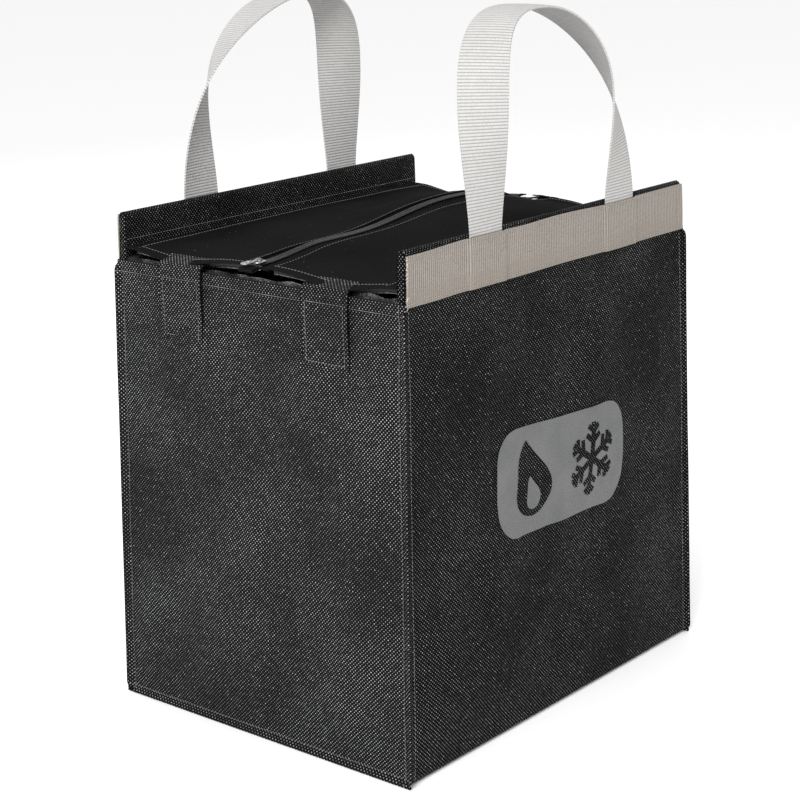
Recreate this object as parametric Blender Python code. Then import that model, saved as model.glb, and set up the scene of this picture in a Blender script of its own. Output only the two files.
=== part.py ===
"""Insulated food carrier: a woven fabric tote with foam walls, a foil liner, a zipped two-piece
lid with hook-and-loop tabs, and two webbing handles.

Metres, +Z up. The origin is on the ground under the middle of the bag, X runs along the zip and
the front panel faces -Y. The body narrows slightly towards the top, so pieces of the body are
drawn at their base size and tapered by their height.
"""
import math

import bmesh
import bpy
from mathutils import Matrix, Vector

# Body, at the base
HALF_WIDTH = 0.193
HALF_DEPTH = 0.153
SIDE_TOP = 0.370
RIDGE_TOP = 0.408
TAPER_X = 0.052
TAPER_Y = 0.033
BOTTOM_RADIUS = 0.008
FIN_REACH = 0.0035
WRAP_INSET = 0.002
FIN_TOP = 0.366

# Materials of the walls
FABRIC = 0.0012
FOAM = 0.005
FOIL = 0.0008
BOARD = 0.0025
GAP = 0.00035

# Levels inside the body
LINER_TOP = 0.3695
FOAM_TOP = 0.3685
HEM_END = 0.371

# Webbing
WEBBING_WIDTH = 0.038
WEBBING = 0.0015
BAND_TOP = RIDGE_TOP - 0.0025
BAND_HALF_LENGTH = 0.1915
TAIL_FOOT = 0.374
BUMP_STEP = 0.003
BUMP_MARGIN = 0.001

# Handles
LEG_X = 0.088
HANDLE_AXIS_Z = RIDGE_TOP + 0.0015
HANDLE_RISE = 0.157
HANDLE_LEAN = 0.014
HANDLE_SKEW = 0.024
HANDLE_SECTIONS = 32
TAIL_CLEARANCE = 0.0020
HANDLE_CLEARANCE = 0.0002
HANDLE_SHOULDER = 0.62  # exponents of the arch: lower is squarer
HANDLE_SPREAD = 0.9
HANDLE_LEAN_ONSET = 1.5
HANDLE_TWIST_ONSET = 1.3
ROUTE_STEP = 0.004
TAB_AXIS_CLEARANCE = 0.0007

# Lid halves
LID_TOP = 0.3812
LID_OVERHANG = 0.0012
LID_FREE_EDGE = 0.014
LID_FOAM = 0.004
LID_INSET = 0.003

# Zip
TAPE = 0.0008
TAPE_INNER_EDGE = 0.0050
TEETH_OUTER_EDGE = 0.0046
TEETH_INNER_EDGE = 0.0006
TEETH_HEIGHT = 0.0020
BACK_ROW_SHORT = 0.0150
SLIDER_LENGTH = 0.012
SLIDER_HALF_WIDTH = 0.0055
SLIDER_PLATE = 0.0012
SLIDER_RIB = 0.0006
SLIDER_REST_X = -0.1765
PULL_LENGTH = 0.0165
PULL_WIDTH = 0.007
PULL_THICKNESS = 0.0010
END_TAB_LENGTH = 0.007
END_TAB_HALF_WIDTH = 0.007

# Hook-and-loop tabs
TAB_Y = 0.075
TAB_HALF_WIDTH = 0.0225
TAB_FOOT = 0.314
TAB_HEAD = 0.379
TAB = 0.0012
PATCH = 0.0009
PATCH_GAP = 0.0003
PATCH_HALF_WIDTH = 0.019
PATCH_FOOT = 0.320
PATCH_HEAD = 0.364

# Printed badge on the front panel
BADGE_CENTRE = (0.003, 0.203)
BADGE_SIZE = (0.170, 0.087)
BADGE_RADIUS = 0.024
BADGE_TILT = math.radians(-1.5)
BADGE_THICKNESS = 0.0004

# Colour, roughness, metallic
BLACK_WEAVE = ((0.020, 0.020, 0.022), 0.85, 0.0)
BLACK_CLOTH = ((0.012, 0.012, 0.013), 0.90, 0.0)
GREY_WEBBING = ((0.48, 0.45, 0.44), 0.80, 0.0)
BROWN_WEBBING = ((0.33, 0.29, 0.28), 0.80, 0.0)
WHITE_FOAM = ((0.80, 0.80, 0.78), 0.90, 0.0)
SILVER_FOIL = ((0.78, 0.79, 0.80), 0.30, 0.60)
GREY_BOARD = ((0.12, 0.12, 0.12), 0.60, 0.0)
BLACK_PILE = ((0.015, 0.015, 0.016), 0.95, 0.0)
BLACK_NYLON = ((0.05, 0.05, 0.05), 0.50, 0.0)
DARK_METAL = ((0.22, 0.21, 0.20), 0.30, 1.0)
GREY_PRINT = ((0.20, 0.20, 0.21), 0.60, 0.0)


def narrowing_x(z):
    return 1.0 - TAPER_X * z / SIDE_TOP


def narrowing_y(z):
    return 1.0 - TAPER_Y * z / SIDE_TOP


def tapered(point):
    x, y, z = point
    return Vector((x * narrowing_x(z), y * narrowing_y(z), z))


def as_drawn(point):
    return Vector(point)


def make_material(name, look):
    colour, roughness, metallic = look
    material = bpy.data.materials.new(name)
    material.use_nodes = True
    shader = material.node_tree.nodes["Principled BSDF"]
    shader.inputs["Base Color"].default_value = (*colour, 1.0)
    shader.inputs["Roughness"].default_value = roughness
    shader.inputs["Metallic"].default_value = metallic
    return material


def add_axis(name, position, parent=None):
    """An empty on a joint's axis, which carries the moving pieces."""
    empty = bpy.data.objects.new(name, None)
    bpy.context.scene.collection.objects.link(empty)
    empty.empty_display_size = 0.02
    origin = Vector(position)
    if parent is not None:
        empty.parent = parent
        origin = origin - parent_position(parent)
    empty.location = origin
    return empty


def parent_position(empty):
    position = Vector((0.0, 0.0, 0.0))
    while empty is not None:
        position += empty.location
        empty = empty.parent
    return position


def add_piece(name, shape, look, axis=None):
    """Turn a bmesh drawn in bag coordinates into an object, carried by its joint's axis."""
    bmesh.ops.triangulate(shape, faces=shape.faces[:], ngon_method='EAR_CLIP')
    bmesh.ops.recalc_face_normals(shape, faces=shape.faces[:])
    mesh = bpy.data.meshes.new(name)
    shape.to_mesh(mesh)
    shape.free()
    piece = bpy.data.objects.new(name, mesh)
    bpy.context.scene.collection.objects.link(piece)
    if axis is not None:
        mesh.transform(Matrix.Translation(-parent_position(axis)))
        piece.parent = axis
    mesh.materials.append(make_material(name, look))
    return piece


def skin_sections(sections):
    """Join closed sections, each a list of points in the same order, and cap both ends."""
    shape = bmesh.new()
    rings = [[shape.verts.new(point) for point in section] for section in sections]
    for ring, following in zip(rings, rings[1:]):
        count = len(ring)
        for i in range(count):
            j = (i + 1) % count
            shape.faces.new((ring[i], ring[j], following[j], following[i]))
    shape.faces.new(rings[0][::-1])
    shape.faces.new(rings[-1])
    return shape


def extrude_y(outline_xz, y_low, y_high, place=tapered):
    return skin_sections([[place((x, y, z)) for x, z in outline_xz] for y in (y_low, y_high)])


def extrude_z(outline_xy, z_low, z_high, place=tapered):
    return skin_sections([[place((x, y, z)) for x, y in outline_xy] for z in (z_low, z_high)])


def block(x_range, y_range, z_range, place=tapered):
    outline = rectangle(x_range, y_range)
    return extrude_z(outline, *z_range, place=place)


def extrude_cells(filled, y_lines, z_lines, x_ends):
    """A bar along X whose cross-section is the filled cells of a grid of lines."""
    shape = bmesh.new()
    corners = {}

    def corner(x, i, j):
        key = (x, i, j)
        if key not in corners:
            corners[key] = shape.verts.new((x, y_lines[i], z_lines[j]))
        return corners[key]

    for i, j in filled:
        loop = [(i, j), (i + 1, j), (i + 1, j + 1), (i, j + 1)]
        neighbours = [(i, j - 1), (i + 1, j), (i, j + 1), (i - 1, j)]
        for x in x_ends:
            shape.faces.new([corner(x, *point) for point in loop])
        for k, neighbour in enumerate(neighbours):
            if neighbour in filled:
                continue
            start, end = loop[k], loop[(k + 1) % 4]
            side = [(x_ends[0], start), (x_ends[0], end), (x_ends[1], end), (x_ends[1], start)]
            shape.faces.new([corner(x, *point) for x, point in side])
    return shape


def rectangle(u_range, v_range):
    (u0, u1), (v0, v1) = u_range, v_range
    return [(u0, v0), (u1, v0), (u1, v1), (u0, v1)]


def arc(centre, radius, start, end, steps):
    """Points of an arc, angles in degrees."""
    points = []
    for i in range(steps + 1):
        angle = math.radians(start + (end - start) * i / steps)
        points.append((centre[0] + radius * math.cos(angle), centre[1] + radius * math.sin(angle)))
    return points


def ribbon_sides(path, thickness):
    """Both sides of a strip of constant thickness centred on an open 2-D path."""
    points = [Vector(point) for point in path]
    near, far = [], []
    for i, point in enumerate(points):
        before = (point - points[i - 1]).normalized() if i > 0 else None
        after = (points[i + 1] - point).normalized() if i + 1 < len(points) else None
        incoming = before or after
        outgoing = after or before
        mid = (incoming + outgoing).normalized()
        normal = Vector((-mid.y, mid.x))
        stretch = 1.0 / max(0.3, normal.dot(Vector((-incoming.y, incoming.x))))
        offset = normal * (thickness / 2 * stretch)
        near.append(tuple(point - offset))
        far.append(tuple(point + offset))
    return near, far


def ribbon_along_x(path_yz, thickness, half_length):
    """A folded sheet whose cross-section follows the path and whose length runs along X."""
    sections = []
    for near, far in zip(*ribbon_sides(path_yz, thickness)):
        corners = [(-half_length, near), (half_length, near), (half_length, far), (-half_length, far)]
        sections.append([tapered((x, y, z)) for x, (y, z) in corners])
    return skin_sections(sections)


def ribbon_along_z(path_xy, thickness, z_low, z_high):
    """An upright sheet whose plan follows the path."""
    sections = []
    for near, far in zip(*ribbon_sides(path_xy, thickness)):
        corners = [(near, z_low), (near, z_high), (far, z_high), (far, z_low)]
        sections.append([tapered((x, y, z)) for (x, y), z in corners])
    return skin_sections(sections)


# Depths of the layers, from the outer face of the front panel inwards
FOAM_FACE = HALF_DEPTH - FABRIC - GAP
FOAM_BACK = FOAM_FACE - FOAM
LINER_FACE = FOAM_BACK - GAP
HEM_BACK = LINER_FACE - FABRIC
SIDE_FOAM_FACE = HALF_WIDTH - FABRIC - GAP
SIDE_FOAM_BACK = SIDE_FOAM_FACE - FOAM
SIDE_LINER_FACE = SIDE_FOAM_BACK - GAP
BOARD_FLOOR = FABRIC + GAP
FOAM_FLOOR = BOARD_FLOOR + BOARD + GAP
LINER_FLOOR = FOAM_FLOOR + FOAM + GAP
HINGE_Y = HEM_BACK * narrowing_y(LID_TOP) - GAP / 2


def build_body_wrap():
    """Front, bottom and back in one length of fabric, folded inwards over both ridges."""
    skin = HALF_DEPTH - FABRIC / 2
    hem = HEM_BACK + FABRIC / 2
    top = RIDGE_TOP - FABRIC / 2
    floor = FABRIC / 2
    radius = BOTTOM_RADIUS - FABRIC / 2
    front = [(-hem, HEM_END), (-hem, top), (-skin, top), (-skin, SIDE_TOP)]
    front += arc((-skin + radius, floor + radius), radius, 180, 270, 5)
    back = [(-y, z) for y, z in front[::-1]]
    shape = ribbon_along_x(front + back, FABRIC, HALF_WIDTH - WRAP_INSET)
    add_piece("body_wrap", shape, BLACK_WEAVE)


def build_side_panel(name, side):
    """A flat panel whose vertical edges turn out at the corners as pinched seams."""
    plate = HALF_WIDTH - FABRIC / 2
    corner = HALF_DEPTH - FABRIC / 2
    tip = (plate + FIN_REACH, corner + FIN_REACH)
    path = [(tip[0], -tip[1]), (plate, -corner), (plate, corner), tip]
    path = [(side * x, y) for x, y in path]
    add_piece(name, ribbon_along_z(path, FABRIC, GAP, FIN_TOP), BLACK_WEAVE)


def build_insulation():
    front_x = (-SIDE_FOAM_FACE, SIDE_FOAM_FACE)
    ridge_top = RIDGE_TOP - FABRIC - GAP
    for name, side in (("front", -1), ("back", 1)):
        depth = sorted((side * FOAM_FACE, side * FOAM_BACK))
        add_piece(f"{name}_foam", block(front_x, depth, (LINER_FLOOR, ridge_top)), WHITE_FOAM)
    side_y = (-LINER_FACE, LINER_FACE)
    for name, side in (("left", -1), ("right", 1)):
        width = sorted((side * SIDE_FOAM_FACE, side * SIDE_FOAM_BACK))
        add_piece(f"{name}_foam", block(width, side_y, (LINER_FLOOR, FOAM_TOP)), WHITE_FOAM)
    floor_y = (-HALF_DEPTH + BOTTOM_RADIUS, HALF_DEPTH - BOTTOM_RADIUS)
    add_piece("base_board", block(front_x, floor_y, (BOARD_FLOOR, BOARD_FLOOR + BOARD)), GREY_BOARD)
    add_piece("bottom_foam", block(front_x, floor_y, (FOAM_FLOOR, FOAM_FLOOR + FOAM)), WHITE_FOAM)


def build_foil_liner():
    """An open tub that lines the foam."""
    outer_x, outer_y = SIDE_LINER_FACE, LINER_FACE
    inner_x, inner_y = outer_x - FOIL, outer_y - FOIL
    inner_floor = LINER_FLOOR + FOIL
    levels = [
        (outer_x, outer_y, LINER_FLOOR),
        (outer_x, outer_y, LINER_TOP),
        (inner_x, inner_y, LINER_TOP),
        (inner_x, inner_y, inner_floor),
    ]
    sections = []
    for half_x, half_y, z in levels:
        corners = rectangle((-half_x, half_x), (-half_y, half_y))
        sections.append([tapered((x, y, z)) for x, y in corners])
    add_piece("foil_liner", skin_sections(sections), SILVER_FOIL)


def build_webbing_band(name, side):
    """Webbing sewn along the outside of a ridge, standing out over the two handle tails."""
    flat = HALF_DEPTH + GAP + WEBBING / 2
    raised = flat + WEBBING + GAP
    reach = WEBBING_WIDTH / 2 + BUMP_MARGIN
    path = [(-BAND_HALF_LENGTH, flat)]
    for leg in (-LEG_X, LEG_X):
        centre = leg / narrowing_x(RIDGE_TOP)
        path += [(centre - reach - BUMP_STEP, flat), (centre - reach, raised)]
        path += [(centre + reach, raised), (centre + reach + BUMP_STEP, flat)]
    path.append((BAND_HALF_LENGTH, flat))
    path = [(x, side * y) for x, y in path]
    shape = ribbon_along_z(path, WEBBING, BAND_TOP - WEBBING_WIDTH, BAND_TOP)
    add_piece(name, shape, BROWN_WEBBING)


def build_handle_tail(name, side, leg):
    """The sewn-down end of a handle, between the ridge and its band."""
    centre = leg / narrowing_x(RIDGE_TOP)
    depth = sorted((side * (HALF_DEPTH + GAP), side * (HALF_DEPTH + GAP + WEBBING)))
    width = (centre - WEBBING_WIDTH / 2, centre + WEBBING_WIDTH / 2)
    tail_top = HANDLE_AXIS_Z - TAIL_CLEARANCE
    add_piece(name, block(width, depth, (TAIL_FOOT, tail_top)), GREY_WEBBING)


def handle_axis_y():
    return (HALF_DEPTH + GAP + WEBBING / 2) * narrowing_y(HANDLE_AXIS_Z)


def handle_route(t):
    """Centre of the handle, for t from 0 at its left leg to 1 at its right leg."""
    turn = math.pi * t
    arch = math.sin(turn)
    rise = HANDLE_RISE * arch ** HANDLE_SHOULDER
    x = -LEG_X * math.copysign(abs(math.cos(turn)) ** HANDLE_SPREAD, math.cos(turn))
    x -= HANDLE_SKEW * arch ** 2
    y = -handle_axis_y() + HANDLE_LEAN * arch ** HANDLE_LEAN_ONSET
    return Vector((x, y, HANDLE_AXIS_Z + HANDLE_CLEARANCE + rise))


def handle_sections():
    """Strap sections that turn half a turn along the route, so the crown lies flat to the hand."""
    sections = []
    for i in range(HANDLE_SECTIONS + 1):
        t = (1.0 - math.cos(math.pi * i / HANDLE_SECTIONS)) / 2.0
        centre = handle_route(t)
        ahead = handle_route(min(1.0, t + ROUTE_STEP))
        behind = handle_route(max(0.0, t - ROUTE_STEP))
        along = (ahead - behind).normalized()
        if i == 0:
            along = Vector((0.0, 0.0, 1.0))
        if i == HANDLE_SECTIONS:
            along = Vector((0.0, 0.0, -1.0))
        rise = (centre.z - HANDLE_AXIS_Z) / HANDLE_RISE
        quarter = math.pi / 2 * min(1.0, max(0.0, rise)) ** HANDLE_TWIST_ONSET
        twist = quarter if t < 0.5 else math.pi - quarter
        across = Vector((math.cos(twist), -math.sin(twist), 0.0))
        across = (across - along * across.dot(along)).normalized()
        face = across.cross(along).normalized()
        half_width = across * (WEBBING_WIDTH / 2)
        half_thick = face * (WEBBING / 2)
        sections.append([
            centre - half_width - half_thick,
            centre + half_width - half_thick,
            centre + half_width + half_thick,
            centre - half_width + half_thick,
        ])
    return sections


def build_handle(name, turned):
    """The front handle, or the same one turned half round the bag's middle for the back."""
    sections = handle_sections()
    side = -1
    if turned:
        side = 1
        sections = [[Vector((-p.x, -p.y, p.z)) for p in section] for section in sections]
    axis = add_axis(f"{name}_axis", (0.0, side * handle_axis_y(), HANDLE_AXIS_Z))
    add_piece(name, skin_sections(sections), GREY_WEBBING, axis)


def lid_half_length():
    return HALF_WIDTH * narrowing_x(LID_TOP) + LID_OVERHANG


def build_lid_half(name, side):
    """Cover, foam, lining, zip tape and one row of teeth, hinged on the ridge's inner seam."""
    axis = add_axis(f"{name}_lid_axis", (0.0, side * HINGE_Y, LID_TOP))
    length = (-lid_half_length(), lid_half_length())
    inset_length = (length[0] + LID_INSET, length[1] - LID_INSET)
    hinge_edge = side * (HINGE_Y - GAP / 2)
    inset_hinge_edge = side * (HINGE_Y - LID_INSET)
    free_edge = side * LID_FREE_EDGE
    depth = sorted((hinge_edge, free_edge))
    inset_depth = sorted((inset_hinge_edge, free_edge))
    foam_top = LID_TOP - FABRIC - GAP
    lining_top = foam_top - LID_FOAM - GAP
    layers = (
        ("cover", length, depth, (LID_TOP - FABRIC, LID_TOP), BLACK_CLOTH),
        ("foam", inset_length, inset_depth, (foam_top - LID_FOAM, foam_top), WHITE_FOAM),
        ("lining", inset_length, inset_depth, (lining_top - FOIL, lining_top), SILVER_FOIL),
    )
    for layer, x_range, y_range, z_range, look in layers:
        add_piece(f"{name}_lid_{layer}", block(x_range, y_range, z_range, as_drawn), look, axis)
    row = row_half_length(side)
    tape_depth = sorted((side * (LID_FREE_EDGE - GAP), side * TAPE_INNER_EDGE))
    tape_floor = LID_TOP - FABRIC
    tape = block((-row, row), tape_depth, (tape_floor, tape_floor + TAPE), as_drawn)
    add_piece(f"{name}_zip_tape", tape, BLACK_CLOTH, axis)
    teeth_depth = sorted((side * TEETH_OUTER_EDGE, side * TEETH_INNER_EDGE))
    teeth = block((-row, row), teeth_depth, (tape_floor, tape_floor + TEETH_HEIGHT), as_drawn)
    add_piece(f"{name}_zip_teeth", teeth, BLACK_NYLON, axis)
    return axis


def row_half_length(side):
    """The back row stops short at both ends, where the slider parks clear of it."""
    full = lid_half_length() - GAP
    return full if side < 0 else full - BACK_ROW_SHORT


def build_zip_end_tabs(axis):
    inner = lid_half_length() + GAP
    width = (-END_TAB_HALF_WIDTH, END_TAB_HALF_WIDTH)
    height = (LID_TOP - 2 * FABRIC, LID_TOP + FABRIC)
    for name, side in (("left", -1), ("right", 1)):
        length = sorted((side * inner, side * (inner + END_TAB_LENGTH)))
        add_piece(f"zip_end_tab_{name}", block(length, width, height, as_drawn), BLACK_CLOTH, axis)


def build_zip_slider(lid_axis):
    """Two plates joined by a rib between the rows of teeth, and a pull on top."""
    teeth_top = LID_TOP - FABRIC + TEETH_HEIGHT
    tape_floor = LID_TOP - FABRIC
    low = (tape_floor - GAP - SLIDER_PLATE, tape_floor - GAP)
    high = (teeth_top + GAP, teeth_top + GAP + SLIDER_PLATE)
    rib = SLIDER_RIB / 2
    half = SLIDER_HALF_WIDTH
    ends = (SLIDER_REST_X - SLIDER_LENGTH / 2, SLIDER_REST_X + SLIDER_LENGTH / 2)
    filled = {(0, 0), (1, 0), (2, 0), (1, 1), (0, 2), (1, 2), (2, 2)}
    shape = extrude_cells(filled, (-half, -rib, rib, half), low + high, ends)
    slide_axis = add_axis("zip_slider_axis", (SLIDER_REST_X, 0.0, high[1]), lid_axis)
    add_piece("zip_slider", shape, DARK_METAL, slide_axis)
    pull_z = high[1] + GAP + PULL_THICKNESS / 2
    pull_axis = add_axis("zip_pull_axis", (SLIDER_REST_X, 0.0, pull_z), slide_axis)
    hinge_end = SLIDER_REST_X - PULL_THICKNESS
    outline = tongue(hinge_end, hinge_end - PULL_LENGTH, PULL_WIDTH / 2)
    height = (pull_z - PULL_THICKNESS / 2, pull_z + PULL_THICKNESS / 2)
    add_piece("zip_pull", extrude_z(outline, *height, place=as_drawn), DARK_METAL, pull_axis)


def tongue(start, end, half_width):
    """A flat tongue with a round end, from start to end along X."""
    direction = math.copysign(1.0, end - start)
    centre = end - direction * half_width
    quarter = arc((0.0, 0.0), half_width, -90, 90, 8)
    rounded = [(centre + direction * x, y) for x, y in quarter]
    return [(start, -half_width)] + rounded + [(start, half_width)]


def wall_offset_x(offset, z):
    return HALF_WIDTH * narrowing_x(z) + offset


def wall_strip(side, y_range, z_range, inner, thickness):
    """A strip that hangs parallel to a side panel, at an offset from its face."""
    outline = []
    for z, offset in (
        (z_range[0], inner), (z_range[1], inner),
        (z_range[1], inner + thickness), (z_range[0], inner + thickness),
    ):
        outline.append((side * wall_offset_x(offset, z), z))
    return extrude_y(outline, *y_range, place=as_drawn)


def build_closure_tab(side_name, side, row_name, row, lid_axis):
    """A tab with a loop patch under it, and the hook patch on the side panel that it grips."""
    centre = row * TAB_Y
    tab_y = (centre - TAB_HALF_WIDTH, centre + TAB_HALF_WIDTH)
    patch_y = (centre - PATCH_HALF_WIDTH, centre + PATCH_HALF_WIDTH)
    patch_z = (PATCH_FOOT, PATCH_HEAD)
    hook_offset = PATCH_GAP
    loop_offset = hook_offset + PATCH + PATCH_GAP
    tab_offset = loop_offset + PATCH + PATCH_GAP
    label = f"{row_name}_{side_name}"
    hook = wall_strip(side, patch_y, patch_z, hook_offset, PATCH)
    add_piece(f"{label}_hook_patch", hook, BLACK_PILE)
    axis_x = side * (lid_half_length() + TAB_AXIS_CLEARANCE)
    tab_axis = add_axis(f"{label}_tab_axis", (axis_x, centre, LID_TOP - FABRIC / 2), lid_axis)
    loop = wall_strip(side, patch_y, patch_z, loop_offset, PATCH)
    add_piece(f"{label}_loop_patch", loop, BLACK_PILE, tab_axis)
    tab = wall_strip(side, tab_y, (TAB_FOOT, TAB_HEAD), tab_offset, TAB)
    add_piece(f"{label}_closure_tab", tab, BLACK_WEAVE, tab_axis)


def build_badge():
    """A flat print with rounded corners, on the front panel."""
    half_x, half_z = BADGE_SIZE[0] / 2, BADGE_SIZE[1] / 2
    corners = (
        (half_x, half_z, 0), (-half_x, half_z, 90), (-half_x, -half_z, 180), (half_x, -half_z, 270),
    )
    outline = []
    for x, z, start in corners:
        centre = (x - math.copysign(BADGE_RADIUS, x), z - math.copysign(BADGE_RADIUS, z))
        outline += arc(centre, BADGE_RADIUS, start, start + 90, 6)
    cos, sin = math.cos(BADGE_TILT), math.sin(BADGE_TILT)
    turned = []
    for x, z in outline:
        turned.append((BADGE_CENTRE[0] + x * cos - z * sin, BADGE_CENTRE[1] + x * sin + z * cos))
    face = -HALF_DEPTH - GAP
    shape = extrude_y(turned, face - BADGE_THICKNESS, face)
    add_piece("badge_print", shape, GREY_PRINT)


def build():
    for item in list(bpy.data.objects):
        bpy.data.objects.remove(item, do_unlink=True)
    build_body_wrap()
    build_side_panel("left_side_panel", -1)
    build_side_panel("right_side_panel", 1)
    build_insulation()
    build_foil_liner()
    for name, side in (("front", -1), ("back", 1)):
        build_webbing_band(f"{name}_webbing_band", side)
        build_handle_tail(f"{name}_left_handle_tail", side, -LEG_X)
        build_handle_tail(f"{name}_right_handle_tail", side, LEG_X)
    build_handle("front_handle", False)
    build_handle("back_handle", True)
    lids = {}
    for name, side in (("front", -1), ("back", 1)):
        lids[name] = build_lid_half(name, side)
    build_zip_end_tabs(lids["front"])
    build_zip_slider(lids["front"])
    for side_name, side in (("left", -1), ("right", 1)):
        build_closure_tab(side_name, side, "front", -1, lids["front"])
        build_closure_tab(side_name, side, "back", 1, lids["back"])
    build_badge()


build()
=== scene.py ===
"""Looks of the insulated food carrier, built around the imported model.

Lengths are in metres, +Z up, the front panel faces -Y and the zip runs along X. The bag narrows
towards the top, so its cloth is drawn at base size and tapered by height, as its solids are.
"""
import math

import bpy
import numpy as np
from mathutils import Matrix, Vector


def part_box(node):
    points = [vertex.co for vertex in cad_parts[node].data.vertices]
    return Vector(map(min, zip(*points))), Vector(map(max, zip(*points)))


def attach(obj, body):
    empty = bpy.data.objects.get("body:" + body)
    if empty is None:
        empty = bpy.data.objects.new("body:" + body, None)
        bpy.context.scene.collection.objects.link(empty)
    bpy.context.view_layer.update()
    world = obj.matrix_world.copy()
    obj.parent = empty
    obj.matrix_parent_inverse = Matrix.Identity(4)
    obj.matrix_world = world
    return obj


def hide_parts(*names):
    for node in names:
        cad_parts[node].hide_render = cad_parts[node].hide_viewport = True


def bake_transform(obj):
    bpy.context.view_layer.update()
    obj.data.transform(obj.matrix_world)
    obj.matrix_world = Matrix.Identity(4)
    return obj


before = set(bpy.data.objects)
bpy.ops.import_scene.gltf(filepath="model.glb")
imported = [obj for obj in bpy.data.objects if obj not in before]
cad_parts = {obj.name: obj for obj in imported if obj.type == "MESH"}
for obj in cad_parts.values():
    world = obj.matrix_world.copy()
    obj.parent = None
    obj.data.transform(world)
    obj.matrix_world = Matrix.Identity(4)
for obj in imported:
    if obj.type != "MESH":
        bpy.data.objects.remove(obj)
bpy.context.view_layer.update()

# Body, at the base
HALF_WIDTH = 0.193
HALF_DEPTH = 0.153
SIDE_TOP = 0.370
RIDGE_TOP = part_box("body_wrap")[1][2]
TAPER_X = 0.052
TAPER_Y = 0.033
BOTTOM_RADIUS = 0.008
RIDGE_RADIUS = 0.00405
HEM_END = 0.3725
CLOTH = 0.0009
SEAM_REACH = 0.0026
SEAM_FLARE = 0.0034
SEAM_TOP = 0.366
HEM_DEPTH = 0.011

# Webbing
WEBBING_WIDTH = 0.038
WEBBING = 0.0015
GAP = 0.00035
BAND_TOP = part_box("front_webbing_band")[1][2]
BAND_HALF_LENGTH = 0.1915
LEG_X = 0.088
HANDLE_AXIS_Z = RIDGE_TOP + 0.0015
HANDLE_RISE = 0.157
HANDLE_LEAN = 0.014
HANDLE_SKEW = 0.024
HANDLE_TUCK = 0.030

# Lid
LID_TOP = 0.3812
LID_HALF_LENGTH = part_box("front_lid_cover")[1][0]
HINGE_Y = -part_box("front_lid_cover")[0][1]
LID_FREE_EDGE = 0.0138
LID_CREST = 0.0145
LID_CREST_X = 0.06
LID_RISE = 0.0035
LID_DROOP = 0.0080
TAB_Y = 0.075
TAB_HALF_WIDTH = 0.0225

# Weave and thread sizes
WEAVE_PITCH = 0.00160
RIB_PITCH = 0.0024
THREAD_PITCH = 0.0033
# painted highlight: SPARKLE sets how much lighter the few fully lit threads are coloured
SPARKLE = 0.6  # strength of the few threads that catch the light fully

# Smaller pieces
TAB_HEAD_X = 0.1868
TAB_BEND = 0.0035
TAB_CLOTH = 0.0011
LINER_HALF = (0.1855, 0.1455)
LINER_FILM = 0.0004
LID_CLOTH_DEPTH = 0.0009
PAD = 0.0040
PAD_DEPTH = 0.0013
LINING_DEPTH = 0.0056
LINING = 0.0006
TAPE = 0.0007
COIL_PITCH = 0.0018
PULL_BORDER = 0.0014
BADGE_LIFT = 0.0007
PICTOGRAM_LIFT = 0.0009
FIGURE_CLOTH = 0.0002


# ---------------------------------------------------------------- camera, light and floor

CAMERA_AT = (-1.2394, -1.0295, 0.6815)
CAMERA_AZIMUTH = math.radians(-49.96)
CAMERA_ELEVATION = math.radians(15.48)
CAMERA_ROLL = math.radians(-1.31)
CAMERA_LENS = 89.7


def add_camera():
    azimuth, elevation = CAMERA_AZIMUTH, CAMERA_ELEVATION
    back = Vector((
        math.sin(azimuth) * math.cos(elevation),
        -math.cos(azimuth) * math.cos(elevation),
        math.sin(elevation),
    ))
    level = Vector((math.cos(azimuth), math.sin(azimuth), 0.0))
    upright = back.cross(level)
    right = level * math.cos(CAMERA_ROLL) + upright * math.sin(CAMERA_ROLL)
    up = upright * math.cos(CAMERA_ROLL) - level * math.sin(CAMERA_ROLL)
    data = bpy.data.cameras.new("camera")
    data.lens = CAMERA_LENS
    data.sensor_width = 36.0
    camera = bpy.data.objects.new("camera", data)
    bpy.context.scene.collection.objects.link(camera)
    turn = Matrix((right, up, back)).transposed().to_4x4()
    camera.matrix_world = Matrix.Translation(CAMERA_AT) @ turn
    bpy.context.scene.camera = camera


def add_light(name, position, target, size, power):
    data = bpy.data.lights.new(name, 'AREA')
    data.energy = power
    data.shape = 'DISK'
    data.size = size
    light = bpy.data.objects.new(name, data)
    bpy.context.scene.collection.objects.link(light)
    light.location = position
    aim = Vector(target) - Vector(position)
    light.rotation_euler = aim.to_track_quat('-Z', 'Y').to_euler()


def add_studio():
    world = bpy.data.worlds.new("studio")
    bpy.context.scene.world = world
    bpy.context.scene.view_settings.view_transform = 'Standard'
    world.use_nodes = True
    background = world.node_tree.nodes["Background"]
    background.inputs["Color"].default_value = (1.0, 1.0, 1.0, 1.0)
    background.inputs["Strength"].default_value = 1.0
    add_light("key", (-1.9, -0.9, 1.6), (0.0, 0.0, 0.25), 0.9, 54.0)
    add_light("front_fill", (0.9, -2.2, 1.2), (0.0, 0.0, 0.25), 1.4, 7.0)
    add_light("rim", (0.4, 1.9, 1.7), (0.0, 0.0, 0.4), 1.0, 16.0)
    size = 12.0
    corners = [(-size, -size, 0.0), (size, -size, 0.0), (size, size, 0.0), (-size, size, 0.0)]
    mesh = bpy.data.meshes.new("floor")
    mesh.from_pydata(corners, [], [(0, 1, 2, 3)])
    floor = bpy.data.objects.new("floor", mesh)
    bpy.context.scene.collection.objects.link(floor)
    material = bpy.data.materials.new("pale_floor")
    material.use_nodes = True
    shader = material.node_tree.nodes["Principled BSDF"]
    shader.inputs["Base Color"].default_value = (0.92, 0.92, 0.92, 1.0)
    shader.inputs["Roughness"].default_value = 0.9
    mesh.materials.append(material)


# ---------------------------------------------------------------- materials

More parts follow.
